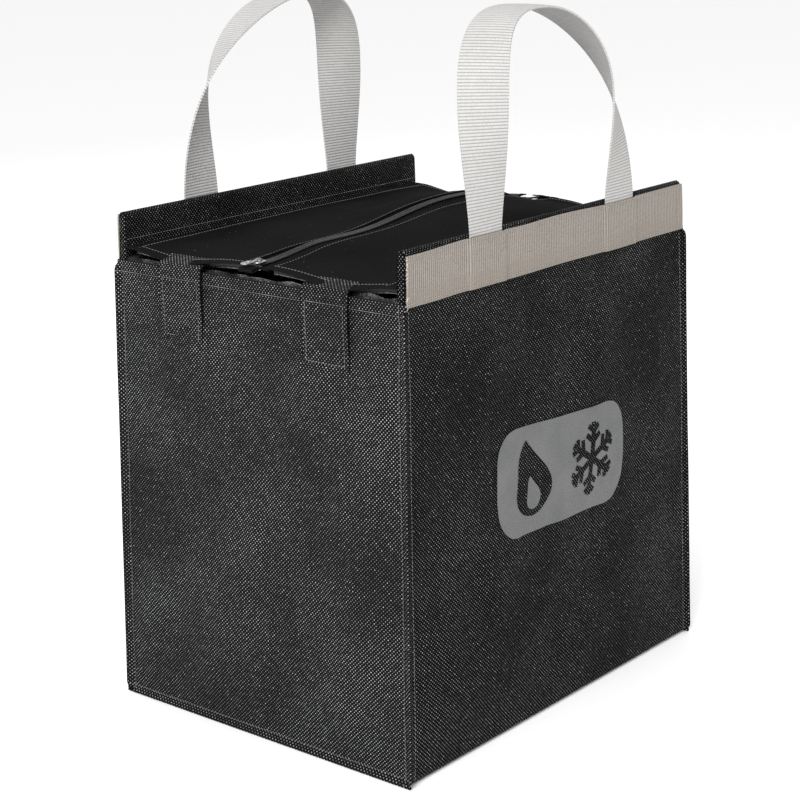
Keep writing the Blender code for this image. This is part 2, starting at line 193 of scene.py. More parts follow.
class Nodes:
    """Short calls that add nodes to a material."""

    def __init__(self, name):
        self.material = bpy.data.materials.new(name)
        self.material.use_nodes = True
        self.tree = self.material.node_tree
        self.shader = self.tree.nodes["Principled BSDF"]

    def link(self, value, socket):
        if hasattr(value, "is_output"):
            self.tree.links.new(value, socket)
        else:
            socket.default_value = value

    def math(self, operation, first, second=0.0, third=0.0):
        node = self.tree.nodes.new("ShaderNodeMath")
        node.operation = operation
        for socket, value in zip(node.inputs, (first, second, third)):
            self.link(value, socket)
        return node.outputs[0]

    def span(self, value, low, high, to_low=0.0, to_high=1.0):
        node = self.tree.nodes.new("ShaderNodeMapRange")
        for name, item in (
            ("Value", value), ("From Min", low), ("From Max", high),
            ("To Min", to_low), ("To Max", to_high),
        ):
            self.link(item, node.inputs[name])
        return node.outputs[0]

    def weave_coordinates(self):
        node = self.tree.nodes.new("ShaderNodeAttribute")
        node.attribute_name = "weave"
        split = self.tree.nodes.new("ShaderNodeSeparateXYZ")
        self.tree.links.new(node.outputs["Vector"], split.inputs[0])
        return node.outputs["Vector"], split.outputs[0], split.outputs[1]

    def object_coordinates(self):
        return self.tree.nodes.new("ShaderNodeTexCoord").outputs["Object"]

    def noise(self, vector, scale, detail=2.0, roughness=0.5):
        node = self.tree.nodes.new("ShaderNodeTexNoise")
        self.link(vector, node.inputs["Vector"])
        node.inputs["Scale"].default_value = scale
        node.inputs["Detail"].default_value = detail
        node.inputs["Roughness"].default_value = roughness
        return node.outputs[0]

    def cell_random(self, x, y):
        join = self.tree.nodes.new("ShaderNodeCombineXYZ")
        self.link(x, join.inputs[0])
        self.link(y, join.inputs[1])
        node = self.tree.nodes.new("ShaderNodeTexWhiteNoise")
        self.tree.links.new(join.outputs[0], node.inputs["Vector"])
        return node.outputs["Value"]

    def mix(self, factor, first, second):
        node = self.tree.nodes.new("ShaderNodeMix")
        node.data_type = 'RGBA'
        self.link(factor, node.inputs["Factor"])
        self.link(first, node.inputs["A"])
        self.link(second, node.inputs["B"])
        return node.outputs["Result"]

    def bump(self, height, distance, strength=1.0, normal=None):
        node = self.tree.nodes.new("ShaderNodeBump")
        self.link(height, node.inputs["Height"])
        node.inputs["Distance"].default_value = distance
        node.inputs["Strength"].default_value = strength
        if normal is not None:
            self.tree.links.new(normal, node.inputs["Normal"])
        return node.outputs[0]

    def surface(self, colour, roughness, normal=None, metallic=0.0, sheen=0.0, specular=0.5):
        self.link(colour, self.shader.inputs["Base Color"])
        self.link(roughness, self.shader.inputs["Roughness"])
        self.shader.inputs["Metallic"].default_value = metallic
        self.shader.inputs["Sheen Weight"].default_value = sheen
        self.shader.inputs["Sheen Roughness"].default_value = 0.5
        self.shader.inputs["Specular IOR Level"].default_value = specular
        if normal is not None:
            self.tree.links.new(normal, self.shader.inputs["Normal"])
        return self.material


def grey(value, warmth=0.0):
    return (value * (1.0 + warmth), value, value * (1.0 - warmth), 1.0)


def woven(name, base, highlight, amount, pitch=WEAVE_PITCH):
    """Plain weave of coarse yarn, every second crossing catching the light. The highlights on the crossings,
    a few glints and broad patches of light are painted into the colour.
    """
    n = Nodes(name)
    vector, u, v = n.weave_coordinates()
    a = n.math('DIVIDE', u, pitch)
    b = n.math('DIVIDE', v, pitch)
    dome_a = n.math('SINE', n.math('MULTIPLY', n.math('FRACT', a), math.pi))
    dome_b = n.math('SINE', n.math('MULTIPLY', n.math('FRACT', b), math.pi))
    dome = n.math('MULTIPLY', dome_a, dome_b)
    cell_a = n.math('FLOOR', a)
    cell_b = n.math('FLOOR', b)
    over = n.math('ABSOLUTE', n.math('MODULO', n.math('ADD', cell_a, cell_b), 2.0))
    lift = n.span(over, 0.0, 1.0, 0.25, 1.0)
    height = n.math('MULTIPLY', dome, lift)
    # painted highlight: the tops of the yarn crossings are coloured lighter, the over crossings most
    lit = n.span(height, 0.58, 0.97)
    chance = n.cell_random(cell_a, cell_b)
    spark = n.span(chance, 0.0, 1.0, 0.35, 1.25)
    # painted glints: a few crossings, picked at random, are coloured lighter still
    glint = n.math('GREATER_THAN', chance, 0.965)
    # painted light: broad patches where the highlights are coloured brighter or dimmer
    patches = n.span(n.noise(vector, 9.0, 3.0), 0.35, 0.65, 0.45, 1.3)
    factor = n.math('MULTIPLY', n.math('MULTIPLY', lit, spark), n.math('MULTIPLY', patches, amount))
    sparkle = n.math('MULTIPLY', n.math('MULTIPLY', glint, lit), SPARKLE)
    factor = n.math('MINIMUM', n.math('ADD', factor, sparkle), 1.0)
    colour = n.mix(factor, grey(base), grey(highlight, -0.01))
    normal = n.bump(height, 0.0005, 0.8)
    roughness = n.span(height, 0.0, 1.0, 0.78, 0.52)
    return n.surface(colour, roughness, normal, specular=0.04)


def fine_cloth(name, base):
    """Matt close cloth with lint specks."""
    n = Nodes(name)
    vector = n.weave_coordinates()[0]
    grain = n.noise(vector, 1400.0, 1.0)
    lint = n.span(n.noise(vector, 420.0, 1.0), 0.74, 0.80)
    shade = n.span(n.noise(vector, 12.0, 3.0), 0.3, 0.7, 0.7, 1.35)
    colour = n.mix(n.math('MULTIPLY', shade, 0.5), grey(base * 0.5), grey(base * 1.8))
    colour = n.mix(n.math('MULTIPLY', lint, 0.35), colour, grey(0.30))
    normal = n.bump(grain, 0.0003, 0.5)
    return n.surface(colour, 0.92, normal, specular=0.01)


def webbing(name, light, dark, warmth, ribs_along_u=False, worn_below=None):
    """Ribbed strap: ribs across its length, each of twisted yarns, with a darker line between. The colour
    follows the rib height: painted shade in the grooves, painted highlight on the rib tops.
    """
    n = Nodes(name)
    vector, u, v = n.weave_coordinates()
    if ribs_along_u:
        u, v = v, u
    along = n.math('DIVIDE', v, RIB_PITCH)
    across = n.math('DIVIDE', u, RIB_PITCH * 0.42)
    shifted = n.math('ADD', across, n.math('MULTIPLY', n.math('FLOOR', along), 0.5))
    rib = n.math('SINE', n.math('MULTIPLY', n.math('FRACT', along), math.pi))
    yarn = n.math('SINE', n.math('MULTIPLY', n.math('FRACT', shifted), math.pi))
    height = n.math('MULTIPLY', n.math('POWER', rib, 0.6), n.span(yarn, 0.0, 1.0, 0.62, 1.0))
    chance = n.cell_random(n.math('FLOOR', shifted), n.math('FLOOR', along))
    tone = n.span(chance, 0.0, 1.0, 0.86, 1.12)
    patches = n.span(n.noise(vector, 26.0, 3.0), 0.3, 0.7, 0.88, 1.08)
    # painted shade and highlight: dark where the ribs are low, light where they are high
    factor = n.math('MULTIPLY', n.span(height, 0.15, 0.85), n.math('MULTIPLY', tone, patches))
    colour = n.mix(factor, grey(dark, warmth * 1.4), grey(light, warmth))
    if worn_below is not None:
        edge = n.math('ADD', u, n.span(n.noise(vector, 90.0), 0.3, 0.7, -0.0010, 0.0010))
        worn = n.span(edge, worn_below - 0.0008, worn_below + 0.0008, 0.75, 0.0)
        colour = n.mix(worn, colour, grey(light * 0.72, warmth * 1.2))
    normal = n.bump(height, 0.0006, 0.9)
    return n.surface(colour, 0.72, normal, sheen=0.04, specular=0.25)


def foil(name, value):
    n = Nodes(name)
    vector = n.object_coordinates()
    creases = n.noise(vector, 60.0, 5.0, 0.65)
    fine = n.noise(vector, 260.0, 3.0, 0.6)
    height = n.math('ADD', creases, n.math('MULTIPLY', fine, 0.25))
    # painted shade: the foil is coloured darker in the low parts of its crinkles
    colour = n.mix(n.span(creases, 0.35, 0.65), grey(value * 0.75), grey(value))
    normal = n.bump(height, 0.0035, 0.7)
    roughness = n.span(fine, 0.3, 0.7, 0.18, 0.36)
    return n.surface(colour, roughness, normal, metallic=0.9)


def foam(name, value):
    n = Nodes(name)
    vector = n.object_coordinates()
    cells = n.noise(vector, 1500.0, 2.0)
    colour = n.mix(n.span(cells, 0.3, 0.7), grey(value * 0.8), grey(value * 1.15))
    return n.surface(colour, 0.95, n.bump(cells, 0.0002, 0.6))


def metal(name, value):
    n = Nodes(name)
    vector = n.object_coordinates()
    rub = n.noise(vector, 350.0, 3.0)
    colour = n.mix(n.span(rub, 0.35, 0.7), grey(value * 0.6, 0.04), grey(value, 0.03))
    roughness = n.span(rub, 0.3, 0.7, 0.2, 0.42)
    return n.surface(colour, roughness, n.bump(rub, 0.00005, 0.4), metallic=1.0)


def nylon(name, value):
    n = Nodes(name)
    vector = n.object_coordinates()
    shade = n.noise(vector, 900.0, 2.0)
    colour = n.mix(n.span(shade, 0.3, 0.7), grey(value * 0.75), grey(value * 1.2))
    return n.surface(colour, 0.42, n.bump(shade, 0.00006, 0.3), specular=0.3)


def pile(name, value):
    n = Nodes(name)
    vector = n.object_coordinates()
    loops = n.noise(vector, 2200.0, 2.0)
    colour = n.mix(n.span(loops, 0.3, 0.7), grey(value * 0.5), grey(value * 2.2))
    return n.surface(colour, 0.95, n.bump(loops, 0.0006, 1.0), specular=0.1)


def print_film(name, value):
    """Rubbery transfer print that takes the texture of the weave below it."""
    n = Nodes(name)
    vector, u, v = n.weave_coordinates()
    a = n.math('SINE', n.math('MULTIPLY', n.math('DIVIDE', u, WEAVE_PITCH), math.pi))
    b = n.math('SINE', n.math('MULTIPLY', n.math('DIVIDE', v, WEAVE_PITCH), math.pi))
    height = n.math('ABSOLUTE', n.math('MULTIPLY', a, b))
    cloud = n.noise(vector, 30.0, 4.0)
    speck = n.noise(vector, 900.0, 1.0)
    shade = n.math('ADD', n.math('MULTIPLY', cloud, 0.7), n.math('MULTIPLY', speck, 0.3))
    colour = n.mix(n.span(shade, 0.35, 0.65), grey(value * 0.82, -0.03), grey(value * 1.12, 0.01))
    return n.surface(colour, 0.5, n.bump(height, 0.0002, 0.5), specular=0.3)


def thread(name, value, warmth=0.0):
    n = Nodes(name)
    vector = n.object_coordinates()
    twist = n.noise(vector, 1600.0, 1.0)
    colour = n.mix(n.span(twist, 0.3, 0.7), grey(value * 0.6, warmth), grey(value, warmth))
    return n.surface(colour, 0.6, n.bump(twist, 0.0001, 0.5), sheen=0.1)


# Painted light: the side and front are one cloth. The side, which faces the key light, gets a lighter base
# and stronger highlights, and the front is coloured darker as shaded.
LIT_SIDE_WEAVE = woven("lit_side_weave", 0.005, 0.50, 0.85)
SHADED_FRONT_WEAVE = woven("shaded_front_weave", 0.0015, 0.42, 0.62)
LID_CLOTH = fine_cloth("lid_cloth", 0.006)
HANDLE_WEBBING = webbing("handle_webbing", 0.46, 0.24, 0.02)
BAND_WEBBING = webbing("band_webbing", 0.27, 0.09, 0.12, ribs_along_u=True,
                       worn_below=BAND_TOP - WEBBING_WIDTH * 0.68)
# Painted shade: a silver foil given a dark grey value, as the lining lies in shade inside the bag.
SHADE_DARKENED_FOIL = foil("crinkled_foil", 0.26)
DARK_FOAM = foam("dark_foam", 0.05)
SLIDER_METAL = metal("slider_metal", 0.45)
COIL_NYLON = nylon("coil_nylon", 0.02)
BLACK_PILE = pile("black_pile", 0.015)
BADGE_FILM = print_film("badge_film", 0.11)
BOARD = nylon("board_plastic", 0.10)
LID_THREAD = thread("lid_thread", 0.12)
DIM_THREAD = thread("dim_thread", 0.13)


# ---------------------------------------------------------------- mesh building

def make_object(name, vertices, faces, weave, material, sharp=55.0):
    mesh = bpy.data.meshes.new(name)
    mesh.from_pydata([tuple(p) for p in vertices], [], [tuple(f) for f in faces])
    mesh.validate()
    if weave is not None:
        attribute = mesh.attributes.new("weave", 'FLOAT_VECTOR', 'POINT')
        flat = np.zeros((len(vertices), 3), np.float32)
        flat[:, :2] = weave
        attribute.data.foreach_set("vector", flat.ravel())
    mesh.shade_smooth()
    mesh.set_sharp_from_angle(angle=math.radians(sharp))
    mesh.materials.append(material)
    piece = bpy.data.objects.new(name, mesh)
    bpy.context.scene.collection.objects.link(piece)
    return piece


def surface_normals(points, closed=False):
    """Unit normals of a grid of points, from its two directions."""
    if closed:
        ring = np.concatenate([points[-1:], points, points[:1]])
        along = np.gradient(ring, axis=0)[1:-1]
    else:
        along = np.gradient(points, axis=0)
    across = np.gradient(points, axis=1)
    normals = np.cross(along, across)
    return normals / np.maximum(np.linalg.norm(normals, axis=2, keepdims=True), 1e-12)


def shell(name, points, weave, thickness, material, flip=False, closed=False):
    """A closed sheet: a grid of outer points, the same grid moved in by a thickness, and its rim."""
    rows, columns = points.shape[:2]
    normals = surface_normals(points, closed)
    if flip:
        normals = -normals
    inner = points - normals * thickness
    vertices = np.concatenate([points.reshape(-1, 3), inner.reshape(-1, 3)])
    count = rows * columns
    index = np.arange(count).reshape(rows, columns)
    if closed:
        index = np.concatenate([index, index[:1]])
    outer = quads(index)
    if flip:
        outer = outer[:, ::-1]
    inside = outer[:, ::-1] + count
    rims = [(index[:, 0], False), (index[:, -1], True)]
    if not closed:
        rims += [(index[0], True), (index[-1], False)]
    edges = []
    for line, reverse in rims:
        strip = np.stack([line[:-1], line[1:], line[1:] + count, line[:-1] + count], axis=1)
        if reverse != flip:
            strip = strip[:, ::-1]
        edges.append(strip)
    faces = np.concatenate([outer, inside] + edges)
    doubled = np.concatenate([weave.reshape(-1, 2)] * 2)
    return make_object(name, vertices, faces, doubled, material)


def quads(index):
    return np.stack([
        index[:-1, :-1].ravel(), index[1:, :-1].ravel(), index[1:, 1:].ravel(), index[:-1, 1:].ravel(),
    ], axis=1)


def ease(value, low, high):
    t = np.clip((value - low) / (high - low), 0.0, 1.0)
    return t * t * (3.0 - 2.0 * t)


def waves(u, v, size, seed, count=7):
    """A smooth random field of about -1 to 1, whose features measure about size."""
    chance = np.random.RandomState(int(seed))
    total = np.zeros(np.broadcast(u, v).shape)
    for _ in range(count):
        angle = chance.uniform(0.0, 2.0 * math.pi)
        rate = math.pi / size * chance.uniform(0.6, 1.5)
        phase = chance.uniform(0.0, 2.0 * math.pi)
        total += np.sin(rate * (u * math.cos(angle) + v * math.sin(angle)) + phase)
    return total / math.sqrt(count) * 0.9


def taper(points):
    """Narrow base-size points by their height."""
    out = points.copy()
    out[..., 0] *= 1.0 - TAPER_X * points[..., 2] / SIDE_TOP
    out[..., 1] *= 1.0 - TAPER_Y * points[..., 2] / SIDE_TOP
    return out


def bead_template(length, width, height, rings=5, sides=6):
    """A short rounded bead along X, as vertices and faces."""
    vertices, faces = [], []
    for i in range(rings):
        t = -1.0 + 2.0 * i / (rings - 1)
        radius = math.sqrt(max(0.0, 1.0 - (abs(t) * 0.94) ** 2.6))
        for k in range(sides):
            angle = 2.0 * math.pi * k / sides
            vertices.append((t * length / 2, radius * width / 2 * math.cos(angle),
                             radius * height / 2 * math.sin(angle)))
    for i in range(rings - 1):
        for k in range(sides):
            j = (k + 1) % sides
            faces.append((i * sides + k, i * sides + j, (i + 1) * sides + j, (i + 1) * sides + k))
    faces.append(tuple(range(sides))[::-1])
    faces.append(tuple(range((rings - 1) * sides, rings * sides)))
    return np.array(vertices), faces


def beads(name, places, template, material):
    """Copies of a bead. Each place is (centre, direction, normal)."""
    shape, shape_faces = template
    vertices, faces = [], []
    for centre, direction, normal in places:
        x_axis = np.array(direction) / np.linalg.norm(direction)
        z_axis = np.array(normal) - x_axis * np.dot(normal, x_axis)
        z_axis /= np.linalg.norm(z_axis)
        y_axis = np.cross(z_axis, x_axis)
        start = len(vertices) * len(shape)
        vertices.append(np.array(centre) + shape @ np.array([x_axis, y_axis, z_axis]))
        faces += [tuple(i + start for i in face) for face in shape_faces]
    return make_object(name, np.concatenate(vertices), faces, None, material, sharp=80.0)


def stitch_places(line, normals, pitch=THREAD_PITCH):
    """Evenly spaced places along a line of points with a normal at each."""
    line = np.asarray(line, float)
    normals = np.asarray(normals, float)
    if normals.ndim == 1:
        normals = np.repeat(normals[None], len(line), axis=0)
    lengths = np.concatenate([[0.0], np.cumsum(np.linalg.norm(np.diff(line, axis=0), axis=1))])
    stops = np.arange(pitch / 2, lengths[-1], pitch)
    centres = np.stack([np.interp(stops, lengths, line[:, k]) for k in range(3)], axis=1)
    ahead = np.stack([np.interp(stops + 1e-4, lengths, line[:, k]) for k in range(3)], axis=1)
    behind = np.stack([np.interp(stops - 1e-4, lengths, line[:, k]) for k in range(3)], axis=1)
    facing = np.stack([np.interp(stops, lengths, normals[:, k]) for k in range(3)], axis=1)
    return [(c, a - b, f) for c, a, b, f in zip(centres, ahead, behind, facing)]


STITCH = bead_template(0.0023, 0.0007, 0.0006)


# ---------------------------------------------------------------- body cloth

def panel_relief(across, height, seed):
    """How far a panel's cloth stands out from its flat face: a soft bulge with dents in it."""
    u = across
    edge = 1.0 - np.abs(u) ** 5
    tall = ease(height, 0.004, 0.05) * (1.0 - ease(height, 0.30, 0.352))
    soft = 0.0028 + 0.0026 * waves(across * 0.19, height, 0.11, seed)
    soft += 0.0015 * waves(across * 0.19, height, 0.045, seed + 1)
    low_edge = ease(height, 0.004, 0.02) * (1.0 - ease(height, 0.345, 0.364))
    creases = 0.0005 * waves(across * 0.19, height, 0.022, seed + 2)
    return np.maximum(edge * (soft * tall + creases * low_edge), -0.0004)


def seam_flare(distance_past):
    """The cloth turns out into the pinched seam as it passes the corner."""
    return SEAM_FLARE * np.clip(distance_past / (SEAM_REACH + 0.003), 0.0, 1.0) ** 1.4


def graded(half, fine=0.012, fine_count=10, coarse=0.0032):
    """Positions from -half to half, closer together near both ends."""
    inner = half - fine
    middle = np.linspace(-inner, inner, int(2 * inner / coarse))
    edge = np.linspace(inner, half, fine_count)[1:]
    return np.concatenate([-edge[::-1], middle, edge])


def wrap_path():
    """The wrap's outer face in section, front hem to back hem: y, z and outward normal."""
    rows = []
    inner = HALF_DEPTH - 2 * RIDGE_RADIUS
    shoulder = RIDGE_TOP - RIDGE_RADIUS
    for z in np.linspace(HEM_END, shoulder, 10):
        rows.append((-inner, z, 1.0, 0.0))
    for angle in np.linspace(0.0, math.pi, 11)[1:-1]:
        y = -(HALF_DEPTH - RIDGE_RADIUS) + RIDGE_RADIUS * math.cos(angle)
        rows.append((y, shoulder + RIDGE_RADIUS * math.sin(angle), math.cos(angle), math.sin(angle)))
    for z in np.linspace(shoulder, BOTTOM_RADIUS, 112):
        rows.append((-HALF_DEPTH, z, -1.0, 0.0))
    for angle in np.linspace(math.pi, 1.5 * math.pi, 8)[1:]:
        y = -HALF_DEPTH + BOTTOM_RADIUS + BOTTOM_RADIUS * math.cos(angle)
        rows.append((y, BOTTOM_RADIUS + BOTTOM_RADIUS * math.sin(angle), math.cos(angle), math.sin(angle)))
    for y in np.linspace(-HALF_DEPTH + BOTTOM_RADIUS, 0.0, 20)[1:]:
        rows.append((y, 0.0, 0.0, -1.0))
    front = np.array(rows)
    back = front[:-1][::-1] * np.array([-1.0, 1.0, -1.0, 1.0])
    return np.concatenate([front, back])


def wrap_surface():
    path = wrap_path()
    xs = graded(HALF_WIDTH + SEAM_REACH)
    y, z, ny = (path[:, k][:, None] for k in range(3))
    x = np.repeat(xs[None], len(path), axis=0)
    ridge = ease(z, SEAM_TOP - 0.003, SEAM_TOP + 0.004)
    narrow = (HALF_WIDTH - 0.0012) / (HALF_WIDTH + SEAM_REACH)
    x = x * (1.0 - ridge * (1.0 - narrow))
    upright = np.abs(ny) * (1.0 - ridge)
    flare = seam_flare(np.abs(xs)[None] - (HALF_WIDTH - 0.003)) * upright
    front = panel_relief(xs[None] / HALF_WIDTH, z, 11) * (y < 0)
    back = panel_relief(-xs[None] / HALF_WIDTH, z, 31) * (y > 0)
    wobble = 0.0006 * waves(xs[None], z, 0.05, 5) * ridge
    out = flare + (front + back) * upright + wobble * ny
    points = np.stack([x, y + ny * out, np.maximum(z, 0.0002) + 0 * x], axis=2)
    length = np.concatenate([[0.0], np.cumsum(np.linalg.norm(np.diff(path[:, :2], axis=0), axis=1))])
    weave = np.stack([x, np.repeat(length[:, None], len(xs), axis=1)], axis=2)
    return taper(points), weave


def build_body_wrap():
    points, weave = wrap_surface()
    piece = shell("wrap_cloth", points, weave, CLOTH, SHADED_FRONT_WEAVE)
    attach(piece, "bag")
    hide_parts("body_wrap")
    return piece


def build_ridge_ends():
    """Cloth closing the four ends of the ridges, gathered a little outward."""
    shoulder = RIDGE_TOP - RIDGE_RADIUS
    heights = np.concatenate([np.linspace(SEAM_TOP - 0.001, shoulder, 14),
                              shoulder + RIDGE_RADIUS * np.sin(np.linspace(0.0, 1.45, 9)[1:])])
    across = np.linspace(-1.0, 1.0, 13)
    over = np.maximum(heights - shoulder, 0.0)
    half = np.sqrt(RIDGE_RADIUS ** 2 - over ** 2)[:, None] * 0.97
    for label, facing in (("front", -1), ("back", 1)):
        for name, side in (("left", -1), ("right", 1)):
            y = facing * (HALF_DEPTH - RIDGE_RADIUS) + across[None] * half
            z = np.repeat(heights[:, None], len(across), axis=1)
            dome = 0.0010 * (1.0 - across[None] ** 2) + 0.0004 * waves(y, z, 0.009, 41 + side + facing)
            x = side * (HALF_WIDTH - 0.0016 + dome)
            weave = np.stack([y, z], axis=2)
            end = shell(f"{label}_{name}_ridge_end", taper(np.stack([x, y, z], axis=2)), weave, CLOTH,
                        SHADED_FRONT_WEAVE, flip=side > 0)
            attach(end, "bag")


def side_surface(side):
    ys = graded(HALF_DEPTH + SEAM_REACH - 0.0012)
    zs = np.concatenate([np.linspace(0.0008, 0.012, 9), np.linspace(0.015, SIDE_TOP - 0.014, 104),
                         np.linspace(SIDE_TOP - 0.0125, SIDE_TOP, 12)])
    y, z = ys[None], zs[:, None]
    open_top = 1.0 - ease(z, SEAM_TOP - 0.004, SEAM_TOP + 0.002)
    flare = seam_flare(np.abs(y) - (HALF_DEPTH - 0.004)) * open_top
    foot = seam_flare(0.0065 - z)
    relief = panel_relief(side * y / HALF_DEPTH, z, 57 + side)
    hem = 0.0006 * ease(z, SIDE_TOP - HEM_DEPTH - 0.0008, SIDE_TOP - HEM_DEPTH)
    out = np.maximum(flare, foot) + relief + hem
    points = np.stack([side * (HALF_WIDTH + out), y + 0 * out, z + 0 * out], axis=2)
    weave = np.stack([y + 0 * out, z + 0 * out], axis=2)
    return taper(points), weave


def build_side_panel(name, side):
    points, weave = side_surface(side)
    piece = shell(f"{name}_side_cloth", points, weave, CLOTH, LIT_SIDE_WEAVE, flip=side > 0)
    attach(piece, "bag")
    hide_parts(f"{name}_side_panel")


def build_body_stitches():
    """Threads of the four corner seams, the bottom seams, the side hems and the ridge folds."""
    places, dim = [], []
    wrap, _ = wrap_surface()
    path = wrap_path()
    front_rows = np.where((path[:, 0] < -0.15) & (path[:, 1] < SEAM_TOP) & (path[:, 1] > 0.006))[0]
    back_rows = np.where((path[:, 0] > 0.15) & (path[:, 1] < SEAM_TOP) & (path[:, 1] > 0.006))[0]
    for rows, facing in ((front_rows, -1.0), (back_rows, 1.0)):
        for column in (5, wrap.shape[1] - 6):
            line = wrap[rows, column] + np.array((0.0, facing * 0.0003, 0.0))
            dim += stitch_places(line, (0.0, facing, 0.0))
    for side in (-1.0, 1.0):
        panel, _ = side_surface(side)
        facing = np.array((side, 0.0, 0.0))
        for column in (5, panel.shape[1] - 6):
            dim += stitch_places(panel[:, column] + facing * 0.0003, facing)
        dim += stitch_places(panel[4] + facing * 0.0003, facing)
        row = panel.shape[0] - 9
        dim += stitch_places(panel[row] + facing * 0.0003, facing)
    for facing in (-1.0, 1.0):
        inner = (HALF_DEPTH - 2 * RIDGE_RADIUS) * (1.0 - TAPER_Y * 0.3855 / SIDE_TOP) - 0.0002
        xs = np.linspace(-0.181, 0.181, 60)
        line = np.stack([xs, 0 * xs + facing * inner, 0 * xs + 0.3862], axis=1)
        places += stitch_places(line, (0.0, -facing, 0.0))
    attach(beads("seam_threads", dim, STITCH, DIM_THREAD), "bag")
    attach(beads("ridge_threads", places, STITCH, LID_THREAD), "bag")


# ---------------------------------------------------------------- webbing

def band_offset(xs):
    """How far the band stands off the ridge: raised over the two handle tails."""
    bump = np.zeros_like(xs)
    for leg in (-LEG_X, LEG_X):
        reach = WEBBING_WIDTH / 2 + 0.001
        bump = np.maximum(bump, 1.0 - ease(np.abs(xs - leg), reach, reach + 0.005))
    return GAP + WEBBING + bump * (WEBBING + GAP)


def build_band(name, side):
    xs = np.linspace(-BAND_HALF_LENGTH, BAND_HALF_LENGTH, 200)
    rows = np.linspace(0.0, 1.0, 16)
    x, t = xs[None], rows[:, None]
    sag = 0.0007 * waves(xs[None], 0 * t, 0.05, 3 + side)
    z = BAND_TOP - WEBBING_WIDTH + t * WEBBING_WIDTH + sag * (0.4 + 0.6 * t)
    crown = 0.0004 * (1.0 - (2 * t - 1) ** 4)
    offset = band_offset(xs * 0.945)[None] + crown + 0.0003 * waves(x, z, 0.03, 9)
    y = side * (HALF_DEPTH + offset)
    points = np.stack([x + 0 * z, y + 0 * z, z + 0 * x], axis=2)
    weave = np.stack([x + 0 * z, z + 0 * x], axis=2)
    piece = shell(f"{name}_band", taper(points), weave, WEBBING * 0.8, BAND_WEBBING,
                  flip=side < 0)
    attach(piece, "bag")
    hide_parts(f"{name}_webbing_band")
    build_band_threads(name, side, taper(points))


def build_band_threads(name, side, points):
    """Two lines of stitching along the band and a bar tack near each end."""
    facing = np.array((0.0, float(side), 0.0))
    places = []
    for row in (1, 14):
        places += stitch_places(points[row] + facing * 0.0002, facing)
    chance = np.random.RandomState(60 + int(side))
    fibres = []
    for _ in range(26):
        root = points[chance.randint(0, 15), 0] + facing * chance.uniform(0.0, 0.0004)
        lean = np.array((-1.0, facing[1] * chance.uniform(0.0, 0.5), chance.uniform(-0.9, 0.9)))
        lean /= np.linalg.norm(lean)
        fibres.append((root + lean * 0.0010, lean, (0.0, facing[1], 0.1)))
    frayed = beads(f"{name}_band_fibres", fibres, bead_template(0.0040, 0.0003, 0.0003, 4, 5),
                   thread(f"{name}_fibre_thread", 0.7))
    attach(frayed, "bag")
    for column in (4, 195):
        places += stitch_places(points[2:13, column] + facing * 0.0003, facing, 0.0016)
    tacks = beads(f"{name}_band_threads", places, STITCH, thread(f"{name}_band_thread", 0.30, 0.06))
    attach(tacks, "bag")


def handle_route(t):
    turn = math.pi * t
    arch = math.sin(turn)
    x = -LEG_X * math.copysign(abs(math.cos(turn)) ** 0.9, math.cos(turn)) - HANDLE_SKEW * arch ** 2
    axis_y = (HALF_DEPTH + GAP + WEBBING / 2) * (1.0 - TAPER_Y * HANDLE_AXIS_Z / SIDE_TOP)
    y = -axis_y + HANDLE_LEAN * arch ** 1.5
    return np.array((x, y, HANDLE_AXIS_Z + HANDLE_RISE * arch ** 0.62))


def handle_frames(count=150):
    """Centre, across and face directions along the strap, with straight tails behind the band."""
    frames = []
    for i in range(count + 1):
        t = (1.0 - math.cos(math.pi * i / count)) / 2.0
        centre = handle_route(t)
        along = handle_route(min(1.0, t + 0.003)) - handle_route(max(0.0, t - 0.003))
        along /= np.linalg.norm(along)
        if i == 0:
            along = np.array((0.0, 0.0, 1.0))
        if i == count:
            along = np.array((0.0, 0.0, -1.0))
        rise = min(1.0, max(0.0, (centre[2] - HANDLE_AXIS_Z) / HANDLE_RISE))
        quarter = math.pi / 2 * rise ** 1.3
        twist = quarter if t < 0.5 else math.pi - quarter
        across = np.array((math.cos(twist), -math.sin(twist), 0.0))
        across -= along * across.dot(along)
        across /= np.linalg.norm(across)
        frames.append((centre, across, along))
    first, last = frames[0], frames[-1]
    steps = np.linspace(HANDLE_TUCK, 0.0, 10)[:-1]
    start = [(first[0] - np.array((0, 0, s)), first[1], first[2]) for s in steps]
    end = [(last[0] - np.array((0, 0, s)), last[1], last[2]) for s in steps[::-1]]
    return start + frames + end


def build_handle(name, turned):
    frames = handle_frames()
    across_steps = np.linspace(-1.0, 1.0, 15)
    points, weave, length = [], [], 0.0
    for i, (centre, across, along) in enumerate(frames):
        if i:
            length += np.linalg.norm(centre - frames[i - 1][0])
        face = np.cross(across, along)
        cup = 0.0006 * (1.0 - across_steps ** 2)
        row = centre + across_steps[:, None] * across * WEBBING_WIDTH / 2
        row = row + face * (WEBBING / 2 + cup[:, None] - 0.0003)
        points.append(row)
        weave.append([(s * WEBBING_WIDTH / 2, length) for s in across_steps])
    points = np.array(points)
    if turned:
        points = points * np.array((-1.0, -1.0, 1.0))
    piece = shell(f"{name}_strap", points, np.array(weave), WEBBING, HANDLE_WEBBING,
                  flip=True)
    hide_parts(f"{name}_handle", f"{name}_left_handle_tail", f"{name}_right_handle_tail")
    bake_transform(piece)


# ---------------------------------------------------------------- lid

